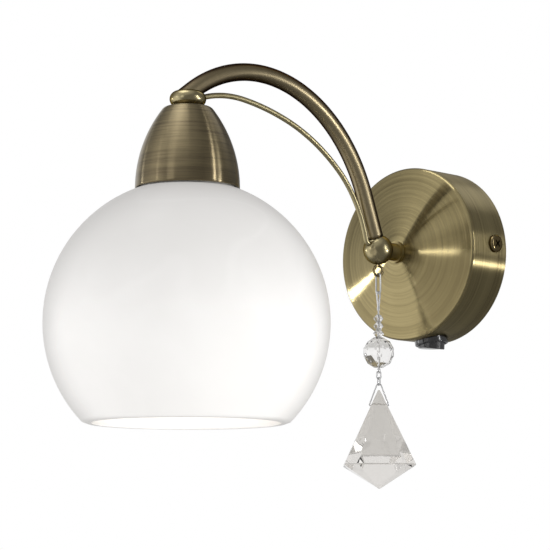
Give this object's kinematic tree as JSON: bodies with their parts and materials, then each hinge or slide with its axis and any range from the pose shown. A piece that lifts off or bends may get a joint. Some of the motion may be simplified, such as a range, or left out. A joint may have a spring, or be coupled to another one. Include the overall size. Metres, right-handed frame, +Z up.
{
  "type": "hanging pendant wall sconce",
  "caption": "Wall light with a round canopy and rocker switch, a curved tube arm with an accent wire, an open opal globe and a hanging crystal pendant.",
  "frame": {"origin": "centre of the canopy's back edge, on the wall plane", "axes": "+Z up, +Y into the wall, the lamp stands out along -Y, +X to the right seen from the front"},
  "size_m": [0.15, 0.2803, 0.2279],
  "materials": {
    "polished_brass": "antique polished",
    "brushed_brass": "antique, brushed round the turning axis",
    "light_brass": "antique polished, lighter",
    "plated_steel": "zinc plated",
    "terminal_brass": "bright",
    "terminal_plastic": "satin",
    "switch_black": "gloss",
    "holder_white": "satin",
    "opal_glass": "opal, alabaster swirl",
    "lamp_glass": "frosted",
    "crystal": "clear, cut",
    "silver_wire": "polished",
    "lamp_cap_metal": "satin",
    "brown_insulation": "matte",
    "blue_insulation": "matte",
    "green_yellow_insulation": "striped"
  },
  "bodies": {
    "fixture": {"wall_bracket": "plated_steel", "canopy": "brushed_brass", "canopy_screws": "polished_brass", "earth_screw": "plated_steel", "earth_lug": "plated_steel", "terminal_block": "terminal_plastic", "terminal_sleeves": "terminal_brass", "terminal_screws": "plated_steel", "block_screw": "plated_steel", "switch_body": "switch_black", "switch_blades": "terminal_brass", "neck_spacer": "polished_brass", "knuckle_nipple": "plated_steel", "lock_washer": "plated_steel", "hex_nut": "plated_steel", "knuckle_ball": "polished_brass", "arm_tube": "polished_brass", "accent_wire": "light_brass", "collar": "polished_brass", "shade_cup": "brushed_brass", "holder_nipple": "plated_steel", "lampholder_cap": "holder_white", "lampholder_skirt": "holder_white", "lampholder_core": "holder_white", "centre_contact": "terminal_brass", "threaded_shell": "terminal_brass", "upper_shade_ring": "holder_white", "lower_shade_ring": "holder_white", "glass_shade": "opal_glass", "bulb_envelope": "lamp_glass", "bulb_base": "lamp_cap_metal", "bulb_tip": "lamp_cap_metal", "neutral_wire": "blue_insulation", "live_wire": "brown_insulation", "switch_feed_wire": "brown_insulation", "earth_wire": "green_yellow_insulation", "pendant_eyelet": "polished_brass"},
    "rocker": {"switch_rocker": "switch_black"},
    "upper_link": {"upper_link": "silver_wire"},
    "bead_pin": {"bead_pin": "silver_wire"},
    "small_bead_1": {"small_bead_1": "crystal"},
    "small_bead_2": {"small_bead_2": "crystal"},
    "small_bead_3": {"small_bead_3": "crystal"},
    "large_bead": {"large_bead": "crystal"},
    "lower_link_1": {"lower_link_1": "silver_wire"},
    "lower_link_2": {"lower_link_2": "silver_wire"},
    "bail": {"drop_bail": "silver_wire"},
    "drop": {"crystal_drop": "crystal"}
  },
  "joints": [
    {"name": "rocker_press", "type": "hinge", "parent": "fixture", "child": "rocker", "pos_m": [0.00714, -0.016, -0.0508], "axis": [0, -1, 0], "range_deg": [0, 24]},
    {"name": "upper_link_swing", "type": "hinge", "parent": "fixture", "child": "upper_link", "pos_m": [0, -0.05397, -0.01495], "axis": [-0.2756, -0.9613, 0], "range_deg": [-12, 20]},
    {"name": "bead_pin_swing", "type": "hinge", "parent": "upper_link", "child": "bead_pin", "pos_m": [0, -0.05397, -0.02517], "axis": [-0.9877, -0.1564, 0], "range_deg": [-8, 18]},
    {"name": "small_bead_1_spin", "type": "hinge", "parent": "bead_pin", "child": "small_bead_1", "pos_m": [0, -0.05397, -0.045], "axis": [0, 0, 1], "continuous": true},
    {"name": "small_bead_2_spin", "type": "hinge", "parent": "bead_pin", "child": "small_bead_2", "pos_m": [0, -0.05397, -0.045], "axis": [0, 0, 1], "continuous": true},
    {"name": "small_bead_3_spin", "type": "hinge", "parent": "bead_pin", "child": "small_bead_3", "pos_m": [0, -0.05397, -0.045], "axis": [0, 0, 1], "continuous": true},
    {"name": "large_bead_spin", "type": "hinge", "parent": "bead_pin", "child": "large_bead", "pos_m": [0, -0.05397, -0.045], "axis": [0, 0, 1], "continuous": true},
    {"name": "lower_link_1_swing", "type": "hinge", "parent": "bead_pin", "child": "lower_link_1", "pos_m": [0, -0.05397, -0.07029], "axis": [-0.9397, 0.342, 0], "range_deg": [-4, 12]},
    {"name": "lower_link_2_swing", "type": "hinge", "parent": "lower_link_1", "child": "lower_link_2", "pos_m": [0, -0.05397, -0.07381], "axis": [0.342, 0.9397, 0], "range_deg": [-12, 12]},
    {"name": "bail_swing", "type": "hinge", "parent": "lower_link_2", "child": "bail", "pos_m": [0, -0.05397, -0.07733], "axis": [-0.9397, 0.342, 0], "range_deg": [-4, 12]},
    {"name": "drop_swing", "type": "hinge", "parent": "bail", "child": "drop", "pos_m": [0, -0.05397, -0.08885], "axis": [-0.7193, -0.6947, 0], "range_deg": [-4, 15]}
  ]
}
